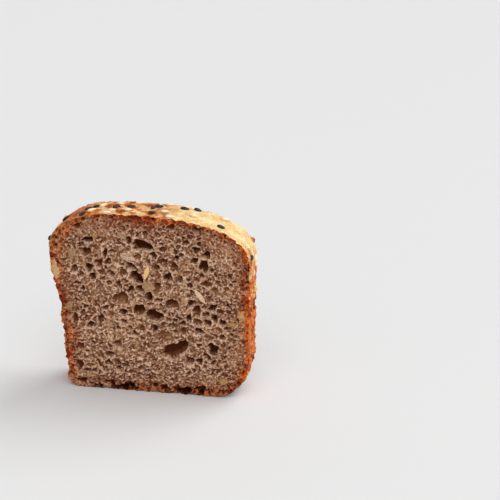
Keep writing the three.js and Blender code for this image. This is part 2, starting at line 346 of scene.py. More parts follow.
def facePlan(look):  # x and z of a cut face's grid
    topLeft, topRight, bottomRight, bottomLeft = look["corners"]

    def edge(start, end, count):
        x, z, nx, nz = onOutline(np.linspace(start, end, count))
        return np.stack([x - look["inset"] * nx, z - look["inset"] * nz], -1)

    bottom = edge(bottomLeft, bottomRight, look["columns"])
    top = edge(topLeft, topRight, look["columns"])
    left = edge(bottomLeft, topLeft + outline["length"], look["rows"])
    right = edge(bottomRight, topRight, look["rows"])
    return patchBetween(bottom, top, left, right)


# Pores from large to small, each at the first of its tries that clears the others and the crust
def scatterPores(look, given, keepOut, radii, rng):
    power = 1 - look["fall"]
    largest, least = [radius**power for radius in radii]
    radii = (largest + np.linspace(0, 1, look["count"]) * (least - largest)) ** (1 / power)
    midway, spread = look["patchRadius"]
    atCrust, growth = look["crustRadius"]
    wider, lower, level = look["flatten"]
    pores = list(given)
    taken = [(x, z, (wide + tall) / 2) for x, z, wide, tall, *rest in given] + keepOut
    for radius in radii:
        x = rng.uniform(-loaf["half"], loaf["half"], look["tries"])
        z = rng.uniform(0, loaf["tall"], look["tries"])
        inside = readMap(edges["inside"], x, z)
        atX, atZ, size = np.reshape(taken, (-1, 3)).T
        gap = (np.hypot(x[:, None] - atX, z[:, None] - atZ) - size).min(1, initial=np.inf)
        most = midway + spread * noise(x, 0.0, z, look["patch"], look["patchSeed"])
        fits = (radius < most) & (radius < atCrust + growth * inside)
        fits = fits & (inside > look["crustWall"] + radius) & (gap > radius + look["wall"])
        stretch = rng.uniform(*look["stretch"])
        deep = rng.uniform(*look["deep" if rng.random() < look["deepShare"] else "shallow"])
        lie = rng.normal(0, look["lie"])
        if fits.any():
            k = fits.argmax()
            flat = ease(*look["flatZone"], z[k])
            wide, tall = radius * stretch * (1 + wider * flat), radius / stretch**0.6 * (1 - lower * flat)
            taken.append((x[k], z[k], radius))
            pores.append((x[k], z[k], wide, tall, radius * deep, lie * (1 - level * flat)))
    return pores


# Depth and painted shade of the pores: each point belongs to the pore whose edge is nearest, and lies
# deeper the farther it is from that edge and from the web shared with the next pore; a pore's painted shade
# grows with its depth and is darkest at its roof, as if lit from above.
# A pore is an ellipse drawn out to a drop, v / (1 - egg u), and bowed, v + bow (u^2 - 0.4)
def poreDepth(look, pores, gridX, gridZ, seed):
    xs, zs = gridX[0], gridZ[:, 0]
    bentX = gridX + look["bend"] * roughness(gridX, 0.0, gridZ, look["bendWave"], 4, seed)
    bentZ = gridZ + look["bend"] * roughness(gridX, 50.0, gridZ, look["bendWave"], 4, seed)
    farAway, spare = 9.0, 3.0  # beyond any edge, and how far past its edge a pore is worked out
    start = farAway, farAway, 0.0, 1.0, 0.0
    first, second, deepest, bowl, rise = [np.full(gridX.shape, value) for value in start]
    drop, curve = look["form"]
    for x, z, wide, tall, deep, turn, *form in pores:
        reach = max(wide, tall) + spare
        rows = slice(*np.searchsorted(zs, (z - reach, z + reach)))
        near = rows, slice(*np.searchsorted(xs, (x - reach, x + reach)))
        dx, dz = bentX[near] - x, bentZ[near] - z
        c, s = cosSin(turn)
        mean = math.sqrt(wide * tall)
        egg, bow = form or (drop * math.sin(0.8 * x + 1.2 * z), curve * math.sin(1.1 * x + 1.7 * z))
        u, v = (c * dx + s * dz) / wide, (c * dz - s * dx) / tall
        v = (v + bow * (u**2 - 0.4)) / np.clip(1 - egg * u, 0.5, 1.5)
        away = (np.hypot(u, v) - 1) * mean
        slope = min(mean, look["shelf"]) * (1 - look["steep"] * min(deep / mean, 1))
        nearer = away < first[near]
        second[near] = np.where(nearer, first[near], np.minimum(second[near], away))
        for kept, own in ((first, away), (deepest, deep), (bowl, slope), (rise, np.clip(v, -1, 1))):
            kept[near] = np.where(nearer, own, kept[near])
    into = np.clip(np.minimum((second - first) / 2 - look["web"], look["swell"] - first) / bowl, 0, 1)
    dark, darker = look["shadeInPores"]
    # painted shade: darker in deeper pores, and darker towards a pore's roof as if lit from above
    shadeInPores = np.clip((dark + darker * deepest) * (1 + look["roofShade"] * rise), 0, look["darkest"])
    return deepest * (1 - (1 - into) ** 2), ease(0, 0.9, into) * shadeInPores


# One cut face as maps: its depth, how far each point lies below what is round it, and the painted shade of
# the pores.
# The depth is that of the pores, and of fine pits, a torn surface, slow swells and crags between them
def crumbMaps(look, given, keepOut, radii, seed):
    step, margin = look["grain"], look["margin"]
    xs = np.arange(-loaf["half"] - margin, loaf["half"] + margin, step)
    zs = np.arange(-margin, loaf["tall"] + margin, step)
    gridX, gridZ = np.meshgrid(xs, zs)
    own = [(x, z, wide * look["rim"], tall * look["rim"], *rest) for x, z, wide, tall, *rest in given]
    pores = scatterPores(look, own, keepOut, radii, np.random.default_rng(seed))
    deep, shadeInPores = poreDepth(look, pores, gridX, gridZ, seed)
    sway = gridX + look["pitSway"][0] * noise(gridX, 0.0, gridZ, look["pitSway"][1], seed)
    small, slow = 0, 0
    for i, (height, spacing, reach) in enumerate(look["pits"]):
        small = small + height * pits(sway, gridZ, spacing, reach, seed + 2 + i)
    for i, (height, wave) in enumerate(look["slow"]):
        slow = slow + height * noise(gridX, 3.0, gridZ, wave, seed + 9 - i)
    torn = look["torn"][0] * roughness(gridX, 9.0, gridZ, look["torn"][1], 4, seed + 5)
    bites = np.maximum(roughness(gridX, 5.0, gridZ, look["cragWave"], 3, seed + 11) - 0.05, 0)
    crag = look["crag"] * ease(*look["cragZone"], gridZ) * bites
    rim = ease(*look["rimZone"], readMap(edges["inside"], gridX, gridZ))
    fine = small * (1 + rim) + torn * (1 + 0.5 * rim) + look["tornPits"] * np.maximum(torn, 0)
    fine = fine * (1 + look["patchFine"] * noise(gridX, 0.0, gridZ, look["patch"], look["patchSeed"]))
    fine = fine * (1 - 0.65 * ease(0.2, 0.9, deep))  # pores are smoother inside
    depth = look["least"] + deep + fine + slow + crag
    # painted shade in the crags along the sole, up to the darkest pore shade
    shadeInPores = np.maximum(shadeInPores, look["darkest"] * ease(0.3, 1.5, crag))
    # both maps below are read as painted shade in the dips and painted highlight on the rises; each
    # compares with the surroundings a little above, as if lit from above
    nookShade = depth - np.roll(blur(blur(depth, 2), 2), -1, 0)  # against what is round it, a little above
    hollowShade = depth - np.roll(blur(blur(depth, 7), 5), -2, 0)
    print("  cut face with", len(pores), "pores")
    maps = {"depth": depth, "nookShade": nookShade, "hollowShade": hollowShade, "poreShade": shadeInPores}
    return {name: (xs, zs, values) for name, values in maps.items()}


flakeRooms = [(x, z, flakeLook["room"] * half) for x, z, half, *rest in flakes]
cutFaces = [
    crumbMaps(crumbLook, frontPores, flakeRooms, crumbLook["fillRadii"], seed=7),
    crumbMaps(crumbLook, [], [], crumbLook["allRadii"], seed=37),
]


def onFaces(key, x, y, z):  # a map's value on the front or the back face
    return np.where(y < 0, *[readMap(maps[key], x, z) for maps in cutFaces])


# Browning of a cut face near the crust
browningLook = {
    "width": 2.9,  # of the browned edge under the dome
    "wider": {"left": 1.3, "right": 1.6, "shoulder": 1.6, "sole": 1.4},  # what it has more elsewhere
    "uneven": (0.5, 9.0),  # how much that width varies, and over what length
    "ragged": (1.5, 3.0),  # the same for its inner border
    "crown": (-15.0, -8.0, 0.0, 8.0),  # stretch scorched under the skin, at the apex
    "crownWider": 0.5,
    "heel": (-14.0, -26.0),  # left of here and low down, it is hardly browned
    "heelHeight": (12.0, 5.0),
    "embers": 2.6,  # size of the scorched spots
    "rim": 3.2,  # width of the outermost edge, which has a colour of its own
    "rimWaver": (0.8, 2.2),
    "plain": (57.0, 62.0, 74.0, 79.0),  # heights where the right edge has little of it
    "seed": 71,
    "faceApart": 30.0,  # each face reads the noise this far from the middle
}


# As shares: browned at all, scorched, facing the tin's floor, and, at the outermost edge, bright orange if
# plus or tan if minus; each is a border at a width that noise moves
def browning(look, x, y, z, inside):
    y, seed = np.sign(y) * look["faceApart"], look["seed"]
    nx, nz = readMap(edges["nx"], x, z), readMap(edges["nz"], x, z)
    shares = {
        "left": ease(-0.4, -0.9, nx),
        "right": ease(0.4, 0.9, nx),
        "shoulder": ease(-0.2, -0.5, nx) * ease(-0.1, 0.2, nz),
        "sole": ease(-0.4, -0.9, nz),
    }
    left, right, shoulder, sole = shares.values()
    crown = ease(0.3, 0.8, nz) * between(*look["crown"], x)
    width = look["width"] + sum(look["wider"][key] * share for key, share in shares.items())
    uneven, wave = look["uneven"]
    width = width * (1 + uneven * noise(x, y, z, wave, seed)) * (1 + look["crownWider"] * crown)
    heel = ease(*look["heel"], x) * ease(*look["heelHeight"], z) * (1 - 0.7 * left)
    ragged, wave = look["ragged"]
    border = inside + ragged * roughness(x, y, z, wave, 3, seed + 1)
    toast = ease(1.6, 0.2, border / width) * (1 - 0.8 * heel)
    spots = roughness(x, y, z, look["embers"], 3, seed + 2)
    ember = ease(-0.25, 0.4, spots + 0.8 * crown - 0.25 * shoulder + 0.2 * left)
    waver, wave = look["rimWaver"]
    orange = np.maximum(right, 0.2 * left) * (1 - 0.8 * right * between(*look["plain"], z))
    orange = orange * ease(look["rim"], 1.6, inside + waver * noise(x, y, z, wave, seed + 3))
    orange = orange * ease(0.5, 0.1, noise(x, y, z, 4.0, seed + 4))
    tan = 0.9 * shoulder * ease(look["rim"], 1.0, inside + waver * noise(x, y, z, wave, seed + 5))
    return {"toast": toast, "ember": ember, "under": sole, "inside": inside, "flank": orange - tan}


def paintSection(piece, x, y, z, inside):  # what the colour of a cut face is made from
    # the nook, hollow and pore maps carry painted shade and painted highlight
    paintPoints(piece, {key: onFaces(key, x, y, z) for key in ("nookShade", "hollowShade", "poreShade")})
    paintPoints(piece, browning(browningLook, x, y, z, inside))


# One half of the crumb: its cut face, a wall down to the middle of the slice, and a flat side there
def buildCrumb(name, look, side):
    plan = facePlan(look)
    rows, columns = plan.shape[:2]
    x, z = plan.reshape(-1, 2).T
    tucked = look["tuck"] * ease(*look["tuckZone"], readMap(edges["inside"], x, z))
    depth = onFaces("depth", x, side, z) + tucked
    face = np.stack([x, side * (halfThick - depth), z], -1)
    number = np.arange(rows * columns).reshape(rows, columns)
    rim = np.concatenate([number[0, :-1], number[:-1, -1], number[-1, :0:-1], number[:0:-1, 0]])
    foot = len(face) + np.arange(len(rim))
    middle = np.full(len(rim) // 2, len(face) + len(rim))
    points = np.vstack([face, face[rim] * [1, 0, 1], [look["core"]]])
    wall = np.stack([rim, foot, np.roll(foot, -1), np.roll(rim, -1)], -1)
    cap = np.stack([foot[::2], middle, np.roll(foot, -2)[::2], np.roll(foot, -1)[::2]], -1)
    grid = gridFaces(rows, columns)
    faces = np.vstack([grid, wall, cap])
    # chart: the face fills most of it, with the wall in a strip and the flat side in a corner
    wide, tall = look["chart"]
    flat = np.stack([points[:, 0] / wide + 0.5, points[:, 2] / tall], -1)
    strip = (np.arange(len(rim))[:, None] + [0, 0, 1, 1]) / len(rim)
    sides = np.broadcast_to([0.96, 0.98, 0.98, 0.96], strip.shape)
    chart = np.vstack([
        0.01 + 0.93 * flat[grid],
        np.stack([strip, sides], -1),
        [0.955, 0.02] + 0.03 * flat[cap],
    ])
    if side > 0:  # a mirror image, so its faces are turned over
        faces, chart = faces[:, ::-1], chart[:, ::-1]
    piece = meshPiece(name, points, faces)
    layChart(piece, chart)
    x, z = points[:, 0], points[:, 2]
    paintSection(piece, x, side, z, readMap(edges["inside"], x, z))
    return piece


# Crust: a ring that wraps the crumb's edge and shows as a band on both cut faces
crustLook = {
    "along": 900,
    "skinSteps": 62,
    "bandSteps": 9,
    "band": 2.2,  # how far the ring runs in over a cut face
    "bandTop": 0.25,  # how far the band starts below the cut
    "tuck": 0.9,  # how far its inner edge dips under the crumb
    "hidden": (0.6, 3.5),  # how far its inside lies from the band and from the cut
    "edge": 0.3,  # how far the cut edge is rounded
    "fray": 0.9,  # how far it is nibbled
    "wave": 0.35,  # slow swells of the skin
    "dip": 0.6,
    "grain": (0.09, 0.28),  # relief of the dome, and what the sides have more
    "pimples": 0.4,
    "deepest": 1.25,  # hollows of the skin end here, short of the crumb's edge
    "cragLift": 0.9,  # notches in the sole's edge
    "cragReach": 3.5,
    "ragged": 1.6,  # bites out of the sole
    "flour": (10.0, 24.0, 66.0, 80.0),  # floured stretch, as distance to the right of the apex
    "blotches": (-24.0, -15.0, 18.0, 32.0),  # stretch with blotches of flour
    "dabs": (58.0, 66.0, 88.0, 104.0),  # stretch with dabs of it
    "dark": (-80.0, -50.0, -34.0, -16.0),  # dark stretch
    "folds": 4,  # the chart is cut into this many rows
    "seed": 40,
    "zoneSeed": 81,
}


def soleShare(z, nz):  # 1 where the crust faces the ground
    return ease(-0.5, -0.85, nz) * ease(14, 4, z)


def sideHollows(look, x, across, z):  # blotches where the skin of the sides is sunk, and scorched
    blotch = roughness(x, across, 0.4 * z, 2.8, 2, look["seed"] + 7)
    return ease(0.0, 0.5, blotch + 0.25 * ease(6, -8, across) - 0.12)


# Skin relief along the normal: two slow waves, then grain, which is coarse on the sides with pimples and
# hollows, a nibbled cut edge, and a sole with notches and bites
def skinRelief(look, along, across):
    x, z, nx, nz = onOutline(along)
    seed, soleLeft, soleRight = look["seed"], *loaf["sole"]
    fromCut = halfThick - np.abs(across)
    side, sole = ease(0.6, 0.2, nz), soleShare(z, nz)
    slow = 0.5 * np.sin(0.31 * x + 0.42 * across + 0.9) + 0.5 * np.sin(0.27 * z - 0.37 * across)
    swell = look["wave"] * np.clip(z / 6, 0, 1) * (slow - look["dip"])
    fine, coarse = look["grain"]
    grain = roughness(x, across, z, 2.4, 3, seed) * (fine + coarse * side)
    grain = grain + look["pimples"] * side * ease(0.15, 0.7, noise(x, across, z, 1.4, seed + 4))
    sunk = -side * sideHollows(look, x, across, z)
    nibbles = np.maximum(roughness(x, np.sign(across) * 20, z, 1.9, 2, seed + 15) + 0.1, 0)
    frayed = -look["fray"] * ease(1.6, 0.0, fromCut) * nibbles
    skin = swell + (1 - sole) * (grain + sunk + frayed)
    skin = np.maximum(skin, 0) + look["deepest"] * np.tanh(np.minimum(skin, 0) / look["deepest"])
    flat = ((x >= soleLeft) & (x <= soleRight) & (z < 30)).astype(float)
    notches = np.maximum(0.65 * np.sin(0.71 * x) + 0.4 * np.sin(0.29 * x + 2.1), 0)
    crag = look["cragLift"] * flat * np.clip(1 - fromCut / look["cragReach"], 0, 1) * notches
    bites = look["ragged"] * sole * np.maximum(roughness(x, across, z, 3.6, 3, seed + 11) - 0.1, 0)
    return skin - crag - bites


# Where the skin is floured, scorched, facing the ground, dark or on a side, as shares
def skinZones(look, along, across):
    x, z, nx, nz = onOutline(along)
    half, seed = outline["length"] / 2, look["zoneSeed"]
    far = (along + half) % outline["length"] - half  # minus to the left of the apex
    sway = noise(x, across, z, 8.0, seed) + 0.5 * noise(x, across, z, 3.0, seed + 1)
    start, full, last, end = look["flour"]
    right = ease(start, full, far + 7 * sway) * ease(end, last, far + 9 * sway)
    blotch = noise(x, across, z, 3.8, seed + 2) + 0.5 * noise(x, across, z, 1.7, seed + 5)
    blotch = blotch + 0.3 * ease(3, 7, np.abs(across))
    patchy = ease(0.05, 0.45, blotch) * between(*look["blotches"], far)
    dabs = ease(0.3, 0.6, noise(x, across, z, 3.4, seed + 3)) * between(*look["dabs"], far)
    onSide = sideHollows(look, x, across, z) * ease(0.75, 0.2, nz) * (0.6 + 0.4 * ease(0.5, 0.9, nx))
    onDome = 0.7 * ease(0.15, 0.6, -blotch) * ease(0.2, 0.6, nz)
    start, full, last, end = look["dark"]
    return {
        "flour": np.maximum.reduce([right, 0.7 * patchy, 0.85 * dabs]),
        "scorch": np.maximum(onSide, onDome),
        "sole": soleShare(z, nz),
        "dark": ease(start, full, far) * ease(end, last, far + 6 * sway),
        "side": ease(0.75, 0.25, nz),
    }


# The ring's section, carried along the outline: across the front band, over the skin, across the back band
def buildCrust(look):
    along = np.arange(look["along"]) * outline["length"] / look["along"]
    x, z, nx, nz = [v[:, None] for v in onOutline(along)]
    skin = np.linspace(-1, 1, look["skinSteps"])
    band = np.linspace(1, 0, look["bandSteps"] + 1)[:-1]
    depthIn = np.concatenate([band, np.zeros(len(skin)), band[::-1]])[None, :]  # share of the band's width
    across = np.concatenate([np.full(len(band), -1.0), skin, np.full(len(band), 1.0)])[None, :]
    y = np.broadcast_to(across * halfThick, (len(along), across.shape[1]))
    inward = look["band"] * depthIn
    out = skinRelief(look, along[:, None], y) * (1 - depthIn) - inward
    px, pz = x + nx * out, np.maximum(z + nz * out, 0)
    # the band starts near the cut, follows the crumb's relief and ends below it
    section = onFaces("depth", px, y, pz) * ease(0, 0.35, depthIn)
    section = section + look["bandTop"] * ease(0.3, 0, depthIn) + look["tuck"] * ease(0.55, 1.0, depthIn)
    torn = look["fray"] * np.maximum(roughness(x, np.sign(y) * 20, z, 1.7, 2, look["seed"] + 17), 0)
    rim = look["edge"] + torn * ease(0.6, 0.2, depthIn)
    onBand, onSkin = np.sign(y) * (halfThick - section - rim + look["edge"]), y * (1 - rim / halfThick)
    py = np.where(depthIn > 0, onBand, onSkin)
    behind, below = look["hidden"]
    inner = np.stack([x - nx * (look["band"] + behind), 0 * x, z - nz * (look["band"] + behind)], -1)
    hidden = inner + np.array([[0, halfThick - below, 0], [0, 0, 0], [0, below - halfThick, 0]])
    points = np.concatenate([np.stack([px, py, pz], -1), hidden], 1)
    rows, columns = points.shape[:2]
    piece = meshPiece("crust", points.reshape(-1, 3), gridFaces(rows, columns, True, True)[:, ::-1])
    perFold = rows // look["folds"]
    i, j = [v.reshape(-1, 1) for v in np.mgrid[:rows, :columns]]
    u = (i % perFold + np.array([1, 1, 0, 0])) / perFold
    v = (i // perFold + 0.02 + 0.96 * (j + np.array([0, 1, 1, 0])) / columns) / look["folds"]
    layChart(piece, np.stack([u, v], -1))
    flatX, flatY, flatZ = points.reshape(-1, 3).T
    cut = np.concatenate([np.broadcast_to((depthIn > 0).astype(float), y.shape), np.ones((rows, 3))], 1)
    inside = np.concatenate([np.broadcast_to(inward, y.shape), np.full((rows, 3), look["band"])], 1).ravel()
    paintPoints(piece, {"cut": cut, **skinZones(look, np.repeat(along, columns), flatY)})
    paintSection(piece, flatX, flatY, flatZ, inside)
    return piece


# Small closed bodies, each with a point, rings from one end to the other, and a point
def meshBodies(name, look, points):
    rings, sides = look["rings"], look["sides"]
    around = np.arange(sides)
    after = (around + 1) % sides
    last = 1 + rings * sides
    quads = 1 + gridFaces(rings, sides, closeColumns=True)
    ends = np.vstack([
        np.stack([0 * around, 1 + after, 1 + around], -1),
        np.stack([0 * around + last, last - sides + around, last - sides + after], -1),
    ])
    shift = (last + 1) * np.arange(len(points))[:, None, None]
    faces = (quads + shift).reshape(-1, 4).tolist() + (ends + shift).reshape(-1, 3).tolist()
    return meshPiece(name, points.reshape(-1, 3), faces)


# A round body: t runs from end to end by 1 - cos, and its half width is t^blunt (1 - t)^sharp, drawn up
# to 1; its points are given as across, along and up, each from -1 to 1
def bodyShape(look):
    rings, sides = look["rings"], look["sides"]
    blunt, sharp = look["ends"]
    t = (1 - np.cos(np.pi * np.arange(1, rings + 1) / (rings + 1)))[:, None] / 2
    peak = blunt / (blunt + sharp)
    wide = t**blunt * (1 - t) ** sharp / (peak**blunt * (1 - peak) ** sharp)
    turn = np.linspace(0, 2 * np.pi, sides, endpoint=False)
    ring = np.stack(np.broadcast_arrays(wide * np.cos(turn), 2 * t - 1, wide * np.sin(turn)), -1)
    return np.vstack([[[0, -1, 0]], ring.reshape(-1, 3), [[0, 1, 0]]])


# Sesame on the crust
seedLook = {
    "length": 4.4,
    "width": 2.5,
    "height": 1.6,
    "sizes": (0.9, 1.08),  # least and largest share of those sizes
    "rings": 12, "sides": 14, "ends": (0.5, 0.75),  # a blunt end and a sharper one
    "lift": 0.45,  # how far a seed's middle lies above the skin
    "seed": 5,
    "black": ((34, 29, 31), (68, 60, 62), 0.55),  # colours of the seed coat, and its roughness
    "pale": ((246, 218, 170), (255, 240, 210), 0.5),
}
blackSeeds = [  # distance along the outline, across the slice, turn in degrees
    (-43.8, -8.2, 100), (-33.7, -0.2, 20), (-21.4, -6.8, 60), (-20.2, -0.2, 25), (-16.6, 1.8, 20),
    (-5.5, -1, 40), (1.4, 1, 10), (13.4, -5.2, 35), (12.6, 1, 75), (14.4, 4.2, 20), (27.3, 5.8, 0),
    (33.4, 8, -10), (47.8, -4.5, 15), (69.9, -4.2, 80), (-49, 7.6, 30), (-57, 2, 130),
]
paleSeeds = [
    (-17.2, -4.5, 30), (-13.1, 1.8, 60), (-8.4, -8.2, 0), (-6.8, -5.2, 10), (-5.1, 5, -20), (1.1, -4.2, 0),
    (4.2, 6.8, 30), (19.2, -2.8, 15), (18.8, 8.2, 0), (23, -8, 10), (27.6, 8.6, 20), (30.4, 8.4, 0),
    (33.2, -1.8, -20), (47.9, 6.5, 20), (64.2, -4.2, 50), (78, 8.2, 80), (-41, 4, 80),
    (-47, -3, 20), (-54, 7.5, 130), (-52, 2.2, 70), (-36.5, 8.3, 100), (80.5, 1, 20),
    (74, 5, 140),
]


# Each seed is a round body with its length turned along the skin
def buildSeeds(name, look, places):
    along, across, turn = np.array(places, float).T
    c, s = cosSin(turn)
    reach = (look["length"] * np.abs(s) + look["width"] * np.abs(c)) / 2
    across = np.clip(across, reach - halfThick, halfThick - reach)  # none overhangs a cut face
    x, z, nx, nz = onOutline(along)
    rise = skinRelief(crustLook, along, across) + look["lift"]
    up = np.stack([nx, 0 * nx, nz], -1)
    right = np.stack([nz, 0 * nx, -nx], -1)
    lengthways = c[:, None] * right + [0, 1, 0] * s[:, None]
    sideways = -s[:, None] * right + [0, 1, 0] * c[:, None]
    middle = np.stack([x, across, z], -1) + rise[:, None] * up
    axes = np.stack([sideways, lengthways, up], 1)  # for each seed, what its across, along and up are
    size = np.random.default_rng(look["seed"]).uniform(*look["sizes"], (len(along), 1, 1)) / 2
    shape = bodyShape(look) * [look["width"], look["length"], look["height"]]
    return meshBodies(name, look, middle[:, None] + shape * size @ axes)


# Flakes: flat round bodies with a ragged edge, laid in the front face
def buildFlakes(look):
    x, z, half, wide, turn, tint, warm = [v[:, None] for v in np.array(flakes, float).T]
    across, along, up = bodyShape(look).T[:, None]
    slender = ease(*look["slender"], wide / half)  # the slivers, which are pointed and stand out
    across = across * (1 - 0.999 * along**2) ** (0.4 * slender)
    nibbles = noise(half * along + 9 * x, wide * across, z + 0 * along, 1.2, 21)
    ragged = 1 + look["ragged"] * (1 - 0.8 * slender) * nibbles
    c, s = cosSin(turn)
    px = x + (c * half * along - s * wide * across) * ragged
    pz = z + (s * half * along + c * wide * across) * ragged
    sunk = look["sunk"] - look["proud"] * slender
    py = -halfThick + sunk - look["thick"] * up + 0.2 * roughness(px, 0.0, pz, 1.8, 2, 22)
    piece = meshBodies("grainFlakes", look, np.stack([px, py, pz], -1))
    paintPoints(piece, {"tint": np.broadcast_to(tint, px.shape), "warm": np.broadcast_to(warm, px.shape)})
    return piece


# Crumbs baked onto the two sides
sideLook = {
    "rings": 10, "sides": 14, "ends": (0.5, 0.5),
    "rough": 0.35,
    "lump": 1.1,  # size of their lumps
    "sunk": 0.25,  # share of its size that a crumb is sunk
    "seed": 31,
    "cool": ((168, 84, 40), (236, 176, 108)),  # colours of a dark and a pale crumb
    "warm": ((176, 92, 44), (252, 208, 140)),
}
sideCrumbs = [  # distance along the outline, across the slice, size, tint
    (91.5, 7, 1.9, 1), (93, 8.6, 1.2, 0.9), (119, 8.2, 1.5, 0.4), (74.6, 6.4, 1.4, 0.9),
    (78.5, 0, 1.1, 0.8), (104, 3, 0.9, 0.5), (111, -3, 0.8, 0.3), (127, 5, 1.1, 0.4),
    (-57, -7, 1.2, 0.7), (-97.5, -8.6, 1, 0.2), (-102.5, -8.4, 0.9, 0.2), (-86, -6, 1, 0.4),
    (-78, 3, 1.2, 0.5), (-93, 4, 1.1, 0.3), (-69.5, -8, 1, 0.6), (-110, -2, 1, 0.3),
    (65.5, 8.6, 1.7, 0.25),
]


# Each crumb is a ball with its radius roughened
def buildSideCrumbs(look):
    along, across, size, tint = np.array(sideCrumbs, float).T
    x, z, nx, nz = onOutline(along)
    out = skinRelief(crustLook, along, across) - look["sunk"] * size
    shape = bodyShape(look)[None, :, [1, 0, 2]]
    middle = np.stack([x + nx * out, across, z + nz * out], -1)[:, None]
    lumps = roughness(*np.moveaxis(shape * 1.3 + middle, -1, 0), look["lump"], 2, look["seed"])
    shape = shape * size[:, None, None] * (1 + look["rough"] * lumps[..., None])
    piece = meshBodies("sideCrumbs", look, middle + shape)
    tint = np.broadcast_to(tint[:, None], lumps.shape)
    paintPoints(piece, {"tint": tint, "warm": tint})
    return piece


class Wire:
    # one socket of a node tree; sums and products of wires and numbers add Math nodes
    def __init__(self, tree, socket=None):
        self.tree = tree
        self.socket = socket

    def node(self, kind, settings, sockets, out=0):  # any node: its type, settings, and its sockets' values
        node = self.tree.nodes.new(kind)
        for key, value in settings.items():
            setattr(node, key, value)
        for key, value in sockets.items():
            if isinstance(value, Wire):
                self.tree.links.new(value.socket, node.inputs[key])
            else:
                node.inputs[key].default_value = value
        return Wire(self.tree, node.outputs[out])

    def __add__(self, other):
        return self.node("ShaderNodeMath", {"operation": "ADD"}, {0: self, 1: other})

    def __mul__(self, other):
        return self.node("ShaderNodeMath", {"operation": "MULTIPLY"}, {0: self, 1: other})

    __radd__, __rmul__ = __add__, __mul__  # with a number first

    def step(self, start, end):  # 0 at start, 1 at end, smooth between
        sockets = {"Value": self, "From Min": start, "From Max": end}
        return self.node("ShaderNodeMapRange", {"interpolation_type": "SMOOTHSTEP"}, sockets)

    def speckle(self, size, detail=2.0):  # noise with features of about this size in mm, from 0 to 1
        sockets = {"Vector": self, "Scale": 1 / mm / size, "Detail": detail}
        return self.node("ShaderNodeTexNoise", {}, sockets)

    def painted(self, *names):  # numbers that the piece carries
        return [self.node("ShaderNodeAttribute", {"attribute_name": name}, {}, "Fac") for name in names]


def linear(colour):  # a colour as seen on screen, made linear
    shares = [c / 255 for c in colour]
    return [c / 12.92 if c <= 0.04045 else ((c + 0.055) / 1.055) ** 2.4 for c in shares]


def mix(factor, first, second):  # of two colours, each a wire or as seen on screen
    pair = [c if isinstance(c, Wire) else (*linear(c), 1) for c in (first, second)]
    return factor.node("ShaderNodeMix", {"data_type": "RGBA"}, {0: factor, 6: pair[0], 7: pair[1]}, 2)


def coat(colour, tints, shares):  # a colour under others, each with its share
    for name, share in shares.items():
        colour = mix(share, colour, tints[name])
    return colour


def newMaterial(name):
    material = bpy.data.materials.new(name)
    material.use_nodes = True
    place = Wire(material.node_tree).node("ShaderNodeTexCoord", {}, {}, "Object")
    return material, place, material.node_tree.nodes["Principled BSDF"]


def dress(place, shader, colour, height, lift, rough, gloss):  # colour, relief in mm, roughness and gloss
    place.tree.links.new(colour.socket, shader.inputs["Base Color"])
    bump = place.node("ShaderNodeBump", {}, {"Height": height, "Strength": 1.0, "Distance": lift * mm})
    place.tree.links.new(bump.socket, shader.inputs["Normal"])
    shader.inputs["Roughness"].default_value = rough
    shader.inputs["Specular IOR Level"].default_value = gloss


# Colours of a cut face as seen on screen; a pair is a dark and a light one
crumbTints = {
    "crumb": ((142, 92, 62), (182, 134, 98)),
    # the ridge, web and sparkle colours are painted highlight; the pore, nook and roof colours are painted
    # shade
    "darkCloud": (114, 62, 34), "paleCloud": (204, 160, 126), "ridgeHighlight": (222, 178, 146),
    "web": (236, 200, 172), "poreShade": (118, 68, 38), "bran": (104, 50, 22), "sparkleHighlight": (248, 216, 190),
    "pit": (100, 52, 26), "nookShade": (92, 40, 12), "husk": (84, 46, 44), "roofShade": (62, 22, 2),
    "nearCrust": (148, 74, 40),
    "rust": ((184, 84, 34), (236, 142, 80)),
    "tan": ((156, 88, 48), (224, 168, 112)),
    "ember": (124, 28, 0),
    "under": ((72, 22, 4), (196, 112, 64)),
    # the rust's nook, hollow and pore colours are painted shade
    "rustNookShade": (116, 34, 4), "rustHollowShade": (80, 18, 0), "rustPoreShade": (54, 10, 0),
    "orangeEdge": ((212, 88, 20), (255, 154, 70)),
    "tanEdge": ((176, 104, 54), (232, 176, 112)),
}


